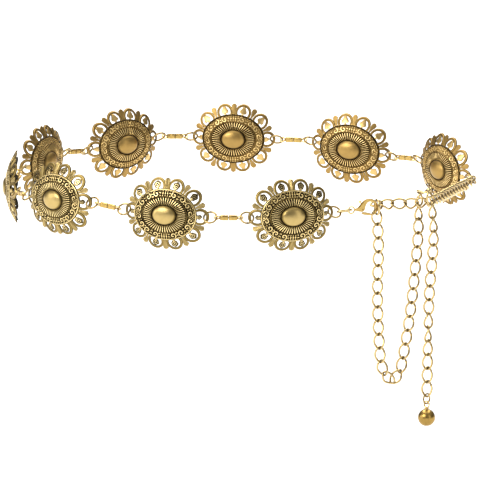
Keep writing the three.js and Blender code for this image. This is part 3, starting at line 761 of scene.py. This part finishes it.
def add_fan(form, middle, out, side, detailed):
    """A fan of five leaves with grooves between them, which widens outwards. The far ones are smooth."""
    tip_reach, setback, curve = FAN_TIP
    far_rise, far_leaf = FAR_FAN_RISE
    rows = []
    levels = []
    for step in range(FAN_ROWS + 1):
        share = step / FAN_ROWS
        half = FAN_NARROW + FAN_SPREAD * smooth_step(*FAN_OPENING, share)
        row = []
        for k in range(FAN_COLUMNS + 1):
            v = 2 * k / FAN_COLUMNS - 1
            leaf = abs(math.cos(FAN_HALF_LEAVES * math.pi * v)) ** FAN_LEAF_POWER
            tip = share ** 3 * (tip_reach * leaf - setback - curve * v * v)
            rise = share * (leaf if detailed else far_rise + far_leaf * leaf)
            tall = FAN_HEIGHT + FAN_RISE * rise * (1 - FAN_SIDE_DROP * v * v)
            row.append(lifted(middle + out * (FAN_FOOT + FAN_LONG * share + tip) + side * (half * v), tall))
            if not detailed:
                levels.append(FAR_FAN_LEVEL)
            else:
                levels.append(FAN_GROOVE_LEVEL * (1 - share) if leaf < FAN_GROOVE_LIMIT else FAN_LEVEL)
        for v in (1, 0, -1):
            reach = FAN_FOOT + FAN_LONG * share - share ** 3 * FAN_ROUNDNESS * v * v
            row.append(lifted(middle + out * reach + side * (half * v), FAN_BACK))
            levels.append(FAN_BACK_LEVEL)
        rows.append(row)
    form.grid(rows, levels, caps=True)


def add_flower(form, middle, out, side, detailed):
    """A flower head inside an arch, on a stem from the plate's edge."""
    head_out, head_radius = FLOWER_END if middle.y == 0 else FLOWER_SIDE
    centre = middle + out * head_out
    rings = FRONT_FLOWER if detailed else FAR_FLOWER
    petals, petal_reach = FRONT_PETALS if detailed else FAR_PETALS
    rows = []
    for share, tall, _ in rings:
        row = []
        for k in range(FLOWER_SIDES):
            angle = CIRCLE * k / FLOWER_SIDES
            reach = head_radius * share * (1 + petal_reach * math.cos(petals * angle) * share)
            ray = out * math.cos(angle) + side * math.sin(angle)
            row.append(lifted(centre + ray * reach, tall))
        rows.append(row)
    form.grid(rows, repeat([level for *_, level in rings], FLOWER_SIDES), caps=True)
    stem = []
    for reach, half in STEM_FOOT + [(head_out - head_radius * STEM_END, STEM_HALF)]:
        stem.append([lifted(middle + out * reach + side * (half * a), b) for a, b, _ in STEM_SECTION])
    form.grid(stem, [level for *_, level in STEM_SECTION] * len(stem), caps=True)


def medallion_form(detailed):
    form = Form()
    add_plate(form, detailed)
    arches, fans = border_frames()
    for frame_of_arch in arches:
        add_arch(form, *frame_of_arch)
        add_flower(form, *frame_of_arch, detailed)
    for frame_of_fan in fans:
        add_fan(form, *frame_of_fan, detailed)
    return form


# Rings, bars and links

def ring_form(radius, wire):
    """A jump ring: round wire bent to a circle, with its two cut ends almost touching."""
    form = Form()
    start = math.pi / 2 + RING_SLIT / 2 / radius
    turn = CIRCLE - RING_SLIT / radius
    angles = [start + turn * i / RING_STEPS for i in range(RING_STEPS + 1)]
    path = [Vector((radius * math.cos(angle), radius * math.sin(angle), 0)) for angle in angles]
    section = circle(wire, RING_SIDES)
    levels = [SLIT_LEVEL] + [RING_LEVEL] * (RING_STEPS - 1) + [SLIT_LEVEL]
    form.grid(tube_rows(path, section, False, UP), repeat(levels, len(section)), caps=True)
    return form


def add_eye(form, path, wire, sides):
    form.grid(tube_rows([Vector(p) for p in path], circle(wire, sides), True), EYE_LEVEL, closed=True)


def link_path(twist, half):
    """An oval of wire, turned one way at one end and the other way at the other."""
    path = []
    for i in range(LINK_STEPS):
        angle = CIRCLE * i / LINK_STEPS
        turn = math.radians(twist) * math.cos(angle)
        across = LINK_HALF_WIDTH * math.sin(angle)
        path.append(Vector((half * math.cos(angle), across * math.cos(turn), across * math.sin(turn))))
    return path


def add_link(form, matrix, twist, half):
    """One link, with painted shade on the inner side of its wire and most of all at its ends, where the next
    link touches.
    """
    path = link_path(twist, half)
    section = circle(LINK_WIRE, LINK_SIDES)
    rows = []
    levels = []
    for i, point in enumerate(path):
        tangent = (path[(i + 1) % LINK_STEPS] - path[i - 1]).normalized()
        radial = Vector((point.x * LINK_END_WEIGHT, point.y, point.z))
        across = (radial - tangent * radial.dot(tangent)).normalized()
        other = tangent.cross(across)
        rows.append([matrix @ (point + across * a + other * b) for a, b in section])
        near_end = abs(math.cos(CIRCLE * i / LINK_STEPS)) ** 4
        shade = LINK_CONTACT_SHADE * near_end + LINK_INNER_SHADE
        levels.extend(LINK_LEVEL - shade * (0.5 - 0.5 * a / LINK_WIRE) for a, _ in section)
    form.grid(rows, levels, closed=True)


def add_bar_rows(form, sign, entries, corner, shine):
    rows = rounded_rows([(sign * x, tall, thick) for x, tall, thick, _ in entries], corner)
    form.grid(rows, repeat([shine * level for *_, level in entries], len(rows[0])), caps=True)


def bar_form():
    """Two flat sleeves with grooved, bevelled ends and a seam between them, each with a neck and an eye."""
    form = Form()
    eye_middle = BAR_SPAN / 2 + RING_WIRE + EYE_WIRE + SEAT_GAP - EYE_RADIUS
    tall = SLEEVE_TALL / 2
    thick = SLEEVE_THICK / 2
    start = SLEEVE_SEAM / 2
    end = start + SLEEVE_LONG
    sleeve = [(start + x, a * tall, b * thick, level) for x, a, b, level in SLEEVE_START_ROWS]
    sleeve += [((start + end) / 2, tall, thick, SLEEVE_MIDDLE_LEVEL)]
    sleeve += [(end - x, a * tall, b * thick, level) for x, a, b, level in SLEEVE_END_ROWS]
    neck = [(end + x, *rest) for x, *rest in NECK_ROWS]
    neck += [(eye_middle - EYE_RADIUS + NECK_END[0], *NECK_END[1:])]
    for sign in (-1, 1):
        add_bar_rows(form, sign, sleeve, SLEEVE_CORNER, SLEEVE_SHINE)
        add_bar_rows(form, sign, neck, NECK_CORNER, NECK_SHINE)
        shift = Vector((sign * eye_middle, 0, 0))
        eye = [turned(Vector((x, y, 0)), "X", RING_TILT) + shift for x, y in circle(EYE_RADIUS, EYE_STEPS)]
        add_eye(form, eye, EYE_WIRE, EYE_SIDES)
    core_long, core_tall, core_thick = CORE_HALF
    core = [(-core_long, core_tall, core_thick), (core_long, core_tall, core_thick)]
    form.grid(rounded_rows(core, CORE_CORNER), CORE_LEVEL, caps=True)
    return form


# Clasp

def rounded_outline(points, passes):
    """Cuts the corners of an outline, pass by pass."""
    for _ in range(passes):
        cut = []
        for index, (x, z) in enumerate(points):
            nx, nz = points[(index + 1) % len(points)]
            cut.append((0.75 * x + 0.25 * nx, 0.75 * z + 0.25 * nz))
            cut.append((0.25 * x + 0.75 * nx, 0.25 * z + 0.75 * nz))
        points = cut
    return points


def add_casting(form, outline, thickness, edge):
    """A flat casting with rounded edges, from a filled curve in the clasp's own x and z."""
    curve = bpy.data.curves.new("casting", "CURVE")
    curve.dimensions = "2D"
    curve.fill_mode = "BOTH"
    curve.extrude = (thickness / 2 - edge) * MM
    curve.bevel_depth = edge * MM
    curve.bevel_resolution = EDGE_STEPS
    curve.offset = -edge * MM
    spline = curve.splines.new("POLY")
    spline.points.add(len(outline) - 1)
    for point, (x, z) in zip(spline.points, outline):
        point.co = (x * MM, z * MM, 0, 1)
    spline.use_cyclic_u = True
    holder = bpy.data.objects.new("casting", curve)
    bpy.context.scene.collection.objects.link(holder)
    bpy.context.view_layer.update()
    shown = holder.evaluated_get(bpy.context.evaluated_depsgraph_get())
    mesh = bpy.data.meshes.new_from_object(shown)
    bpy.data.objects.remove(holder)
    bpy.data.curves.remove(curve)
    mesh.transform(Matrix.Rotation(math.pi / 2, 4, "X"))
    tall = max(abs(v.co.y) for v in mesh.vertices)
    points = [v.co / MM for v in mesh.vertices]
    # painted shade: the casting's sides, across its thickness, are darker than its faces
    levels = [CLASP_FACE_LEVEL - CLASP_SIDE_SHADE * (1 - abs(v.co.y) / tall) for v in mesh.vertices]
    form.add(points, [tuple(p.vertices) for p in mesh.polygons], levels)
    bpy.data.meshes.remove(mesh)


def add_rivet(form):
    """A round rivet through the clasp, domed on both sides."""
    half = CLASP_THICK / 2
    profile = [(radius, -half - rise) for radius, rise in RIVET_PROFILE]
    profile += [(radius, half + rise) for radius, rise in reversed(RIVET_PROFILE)]
    x, z = RIVET_PLACE
    rows = [[(x + px, -pz, z + py) for px, py, pz in row] for row in lathe_rows(profile, RIVET_SIDES)]
    form.grid(rows, RIVET_LEVEL, caps=True)


def clasp_body_form():
    form = Form()
    add_casting(form, rounded_outline(CLASP_BODY, CLASP_ROUNDING), CLASP_THICK, CLASP_EDGE)
    eye = [(CLASP_EYE_X + x, 0, z) for x, z in circle(CLASP_EYE_RADIUS, LARGE_EYE_STEPS)]
    add_eye(form, eye, CLASP_EYE_WIRE, LARGE_EYE_SIDES)
    stem = rounded_rows(NUB_STEM_ROWS, NUB_STEM_CORNER, NUB_STEM_SIDES)
    stem = [[turned(Vector(p), "Y", NUB_STEM_LEAN) + NUB_STEM_PLACE for p in row] for row in stem]
    form.grid(stem, NUB_STEM_LEVEL, caps=True)
    form.grid(lathe_rows(NUB_PROFILE, NUB_SIDES, NUB_PLACE), NUB_LEVEL, caps=True)
    add_rivet(form)
    return form


def clasp_gate_form():
    form = Form()
    add_casting(form, rounded_outline(CLASP_GATE, GATE_ROUNDING), GATE_THICK, GATE_EDGE)
    return form


def ball_form():
    """A ball with a collar and an eye. The eye's middle is the form's origin."""
    form = Form()
    profile = [(0.05, -BALL_RADIUS)]
    for step in range(1, BALL_ROWS + 1):
        angle = math.pi - (math.pi - BALL_TOP_ANGLE) * step / BALL_ROWS
        profile.append((BALL_RADIUS * math.sin(angle), BALL_RADIUS * math.cos(angle)))
    levels = [BALL_LEVEL] * len(profile)
    top = profile[-1][1]
    for radius, over, level in COLLAR:
        profile.append((radius, top + over))
        levels.append(level)
    rows = lathe_rows(profile, BALL_SIDES, (0, 0, -DROP_LENGTH))
    form.grid(rows, repeat(levels, BALL_SIDES), caps=True)
    eye = [(x, 0, z) for z, x in circle(DROP_EYE_RADIUS, LARGE_EYE_STEPS)]
    add_eye(form, eye, DROP_EYE_WIRE, LARGE_EYE_SIDES)
    return form


# Guides and runs of links

def curve_samples(points):
    """A centripetal Catmull-Rom curve through the points, as the model draws it."""
    points = [Vector(p) for p in points]
    ends = [points[0] * 2 - points[1]] + points + [points[-1] * 2 - points[-2]]
    samples = []
    for i in range(1, len(ends) - 2):
        p0, p1, p2, p3 = ends[i - 1:i + 3]
        d0 = (p1 - p0).length ** 0.5
        d1 = (p2 - p1).length ** 0.5
        d2 = (p3 - p2).length ** 0.5
        t1 = ((p1 - p0) / d0 - (p2 - p0) / (d0 + d1) + (p2 - p1) / d1) * d1
        t2 = ((p2 - p1) / d1 - (p3 - p1) / (d1 + d2) + (p3 - p2) / d2) * d1
        squared = p2 * 3 - p1 * 3 - t1 * 2 - t2
        cubed = p1 * 2 - p2 * 2 + t1 + t2
        for step in range(CURVE_STEPS):
            t = step / CURVE_STEPS
            samples.append(p1 + t1 * t + squared * t * t + cubed * t ** 3)
    samples.append(points[-1])
    return samples


def lay_links(points, count, face_of, first_room, last_room):
    """Evenly spaced links on a curve through the points: their frames, and half of a link's length.
    The rooms are how far the first and last links' wires reach past the curve's ends."""
    guide = curve_samples(points)
    lengths = [0]
    for before, after in zip(guide, guide[1:]):
        lengths.append(lengths[-1] + (after - before).length)
    lengths = np.array(lengths)
    line = np.array([tuple(p) for p in guide])

    def at(distance):
        return Vector([float(np.interp(distance, lengths, line[:, axis])) for axis in range(3)])

    total = lengths[-1] + first_room + last_room
    pitch = (total - 2 * LINK_WIRE) / count
    half = pitch / 2 + LINK_WIRE
    matrices = []
    for number in range(count):
        middle = -first_room + half + number * pitch
        start = max(0, middle - pitch / 2)
        end = min(lengths[-1], middle + pitch / 2)
        first = at(start)
        last = at(end)
        direction = (last - first).normalized()
        past_end = 2 * middle - start - end
        place = (first + last) / 2 + direction * past_end / 2
        matrices.append(along(place, direction, face_of(place, direction, number)))
    return matrices, half


def put_run(matrices, half, node):
    form = Form()
    for matrix in matrices:
        add_link(form, matrix, LINK_TWIST, half)
    put(form.object(node + "_links", WIRE_GOLD), Matrix.Identity(4), node)


front_medallion = medallion_form(True).object("medallion_relief_01", FRONT_GOLD, MEDALLION_SMOOTH)
far_medallion = medallion_form(False).object("medallion_relief_05", FAR_GOLD, MEDALLION_SMOOTH)
ring_piece = ring_form(RING_RADIUS, RING_TUBE).object("jump_ring", WIRE_GOLD)
bar_piece = bar_form().object("bar_sleeves", POLISHED)
plain_link = Form()
add_link(plain_link, Matrix.Identity(4), 0, LINK_HALF)
plain_piece = plain_link.object("plain_link", WIRE_GOLD)


def arch_contact(middle, direction, facing, side):
    """Where a ring hangs in the arch at one end of a medallion."""
    return middle + direction * (side * RING_CONTACT) + outward_of(direction) * (facing * RING_LIFT)


def add_ring(node, inner, outer, belt_direction):
    direction = (outer - inner).normalized()
    tilt = RING_TILT if belt_direction.dot(direction) > 0 else -RING_TILT
    face = turned(outward_of(belt_direction), direction, tilt)
    put(instance(ring_piece, node + "_wire"), along((inner + outer) / 2, direction, face), node)


# Medallions and bar links, round from the clasp to the chain
middles = []
directions = [bearing(piece[0], piece[1]) for piece in PIECES]
middle = FIRST_MIDDLE.copy()
for index, (_, _, facing, link_heading, link_slope) in enumerate(PIECES):
    number = "%02d" % (index + 1)
    direction = directions[index]
    middles.append(middle)
    source = front_medallion if facing == 1 else far_medallion
    piece = instance(source, "medallion_relief_" + number)
    medallion_frame = along(middle, direction, outward_of(direction) * facing)
    put(piece, medallion_frame, "medallion_" + number)
    if link_heading is None:
        continue
    following = directions[index + 1]
    way = bearing(link_heading, link_slope)
    first_inner = arch_contact(middle, direction, facing, 1)
    first_outer = first_inner + (direction + way).normalized() * (2 * RING_RADIUS)
    second_outer = first_outer + way * BAR_SPAN
    second_inner = second_outer + (following + way).normalized() * (2 * RING_RADIUS)
    add_ring("ring_%s_start" % number, first_inner, first_outer, direction)
    bar_frame = along((first_outer + second_outer) / 2, way, UP)
    put(instance(bar_piece, "bar_sleeves_" + number), bar_frame, "bar_link_" + number)
    add_ring("ring_%s_end" % number, second_inner, second_outer, following)
    middle = second_inner - arch_contact(Vector(), following, PIECES[index + 1][2], -1)

# Clasp side
clasp_ring_inner = arch_contact(middles[0], directions[0], 1, -1)
clasp_link_way = bearing(CLASP_LINK_HEADING)
clasp_ring_way = (clasp_link_way - directions[0]).normalized()
clasp_ring_outer = clasp_ring_inner + clasp_ring_way * (2 * RING_RADIUS)
add_ring("ring_clasp", clasp_ring_inner, clasp_ring_outer, directions[0])
clasp_link_back = clasp_ring_outer - clasp_link_way * (RING_WIRE + SOLID_WIRE + SEAT_GAP)
clasp_link_middle = clasp_link_back + clasp_link_way * LINK_HALF
clasp_link_face = turned(UP, clasp_link_way, CLASP_LINK_ROLL)
clasp_link_frame = along(clasp_link_middle, clasp_link_way, clasp_link_face)
put(instance(plain_piece, "clasp_link_wire"), clasp_link_frame, "clasp_link")
clasp_link_front = clasp_link_middle + clasp_link_way * LINK_HALF
clasp_way = bearing(CLASP_HEADING)
eye_back = clasp_link_front - clasp_way * (SOLID_WIRE + CLASP_EYE_WIRE + SEAT_GAP)
clasp_origin = eye_back + clasp_way * (CLASP_EYE_RADIUS - CLASP_EYE_X)
clasp_frame = along(clasp_origin, clasp_way, UP)
put(clasp_body_form().object("clasp_casting", POLISHED), clasp_frame, "clasp_body")
put(clasp_gate_form().object("clasp_lever", POLISHED), clasp_frame, "clasp_gate")
clasp_side = bearing(CLASP_HEADING + 90)
hooked_middle = (clasp_origin + clasp_way * HOOKED_LINK["along"] + clasp_side * HOOKED_LINK["side"]
                 + UP * HOOKED_LINK["up"])
put(instance(plain_piece, "hooked_link_wire"), along(hooked_middle, UP, clasp_way), "hooked_link")
loop_end = hooked_middle + clasp_side * (LINK_HALF_WIDTH + PULL_SIDE)
loop_end = loop_end - bearing(PULL_HEADING) * PULL_REACH + UP * PULL_UP
hooked_bottom = hooked_middle + UP * (TAIL_SEAT - LINK_HALF) + clasp_side * TAIL_SIDE

# Chain side: its ring, and the run round to the hooked link
chain_ring_inner = arch_contact(middles[-1], directions[-1], PIECES[-1][2], 1)
chain_ring_outer = chain_ring_inner + directions[-1] * (2 * RING_RADIUS)
add_ring("ring_chain", chain_ring_inner, chain_ring_outer, directions[-1])
chain_start = chain_ring_outer - directions[-1] * CHAIN_SEAT


def loop_face(place, direction, number):
    return turned(Vector((place.x, place.y, 0)), direction, LOOP_ROLLS.get(number, 0))


loop, loop_half = lay_links([chain_start, *LOOP_GUIDE, loop_end], LOOP_LINKS, loop_face, HALF_GAP, HALF_GAP)
put_run(loop[:LOOP_SPLIT], loop_half, "chain_back")
put_run(loop[LOOP_SPLIT:], loop_half, "chain_front")


# The tail, which hangs from the hooked link, lies over the chain once and hangs down again
def tail_face(place, direction, number):
    if DRAPE_LINKS[0] <= number <= DRAPE_LINKS[1]:
        return bearing(DRAPE_HEADING).cross(direction)
    return bearing(float(np.interp(number, *zip(*TAIL_FACES))))


tail, tail_half = lay_links([hooked_bottom, *TAIL_GUIDE], TAIL_LINKS, tail_face, TAIL_SEAT, HALF_GAP)
tail_ends = [first for _, first in TAIL_PARTS[1:]] + [TAIL_LINKS]
for (node, first), end in zip(TAIL_PARTS, tail_ends):
    put_run(tail[first:end], tail_half, node)

# End ring and ball drop
end_ring_top = Vector(TAIL_GUIDE[-1]) + UP * (END_RING_WIRE + SOLID_WIRE + SEAT_GAP - HALF_GAP)
end_ring_middle = end_ring_top - UP * END_RING_RADIUS
end_face = bearing(END_RING_TURN - 90)
end_ring = ring_form(END_RING_RADIUS, END_RING_WIRE).object("end_ring_wire", WIRE_GOLD)
put(end_ring, along(end_ring_middle, UP, end_face), "end_ring")
hinge = end_ring_middle - UP * END_RING_RADIUS
drop_eye = hinge + UP * (END_RING_WIRE + DROP_EYE_WIRE + SEAT_GAP - DROP_EYE_RADIUS)
ball = ball_form().object("ball_drop_metal", POLISHED)
put(ball, along(drop_eye, end_face, UP), "ball_drop", "ball_drop")


# Floor, light and surroundings

def add_floor():
    """A wide round floor, pale and plain. The camera looks down on it, so it fills the picture."""
    material = bpy.data.materials.new("pale_floor")
    material.use_nodes = True
    shader = material.node_tree.nodes["Principled BSDF"]
    shader.inputs["Base Color"].default_value = (*FLOOR_COLOUR, 1)
    shader.inputs["Roughness"].default_value = FLOOR_ROUGHNESS
    form = Form()
    form.grid(lathe_rows([(reach / MM, FLOOR_HEIGHT / MM) for reach in FLOOR_ROWS], FLOOR_SIDES), 1.0)
    form.faces.append(tuple(range(FLOOR_SIDES)))
    floor = form.object("floor", material)


def add_light(name, place, target, size, power):
    data = bpy.data.lights.new(name, "AREA")
    data.shape = "RECTANGLE"
    data.size, data.size_y = size
    data.energy = power
    lamp = bpy.data.objects.new(name, data)
    direction = Vector(target) - Vector(place)
    lamp.matrix_world = Matrix.Translation(place) @ direction.to_track_quat("-Z", "Y").to_matrix().to_4x4()
    bpy.context.scene.collection.objects.link(lamp)


def add_world():
    """Soft surroundings: bright overhead, dim towards the horizon and below, as in a tented studio."""
    world = bpy.data.worlds.new("studio")
    world.use_nodes = True
    nodes = world.node_tree.nodes
    link = world.node_tree.links.new
    place = nodes.new("ShaderNodeTexCoord")
    split = nodes.new("ShaderNodeSeparateXYZ")
    ramp = nodes.new("ShaderNodeValToRGB")
    ramp_stops(ramp.color_ramp, [(height, (grey, grey, grey)) for height, grey in WORLD_STOPS])
    link(place.outputs["Generated"], split.inputs[0])
    link(split.outputs["Z"], ramp.inputs["Fac"])
    link(ramp.outputs["Color"], nodes["Background"].inputs["Color"])
    bpy.context.scene.world = world


add_floor()
for light in LIGHTS:
    add_light(*light)
add_world()
bpy.context.scene.view_settings.view_transform = "Standard"

bpy.context.view_layer.update()
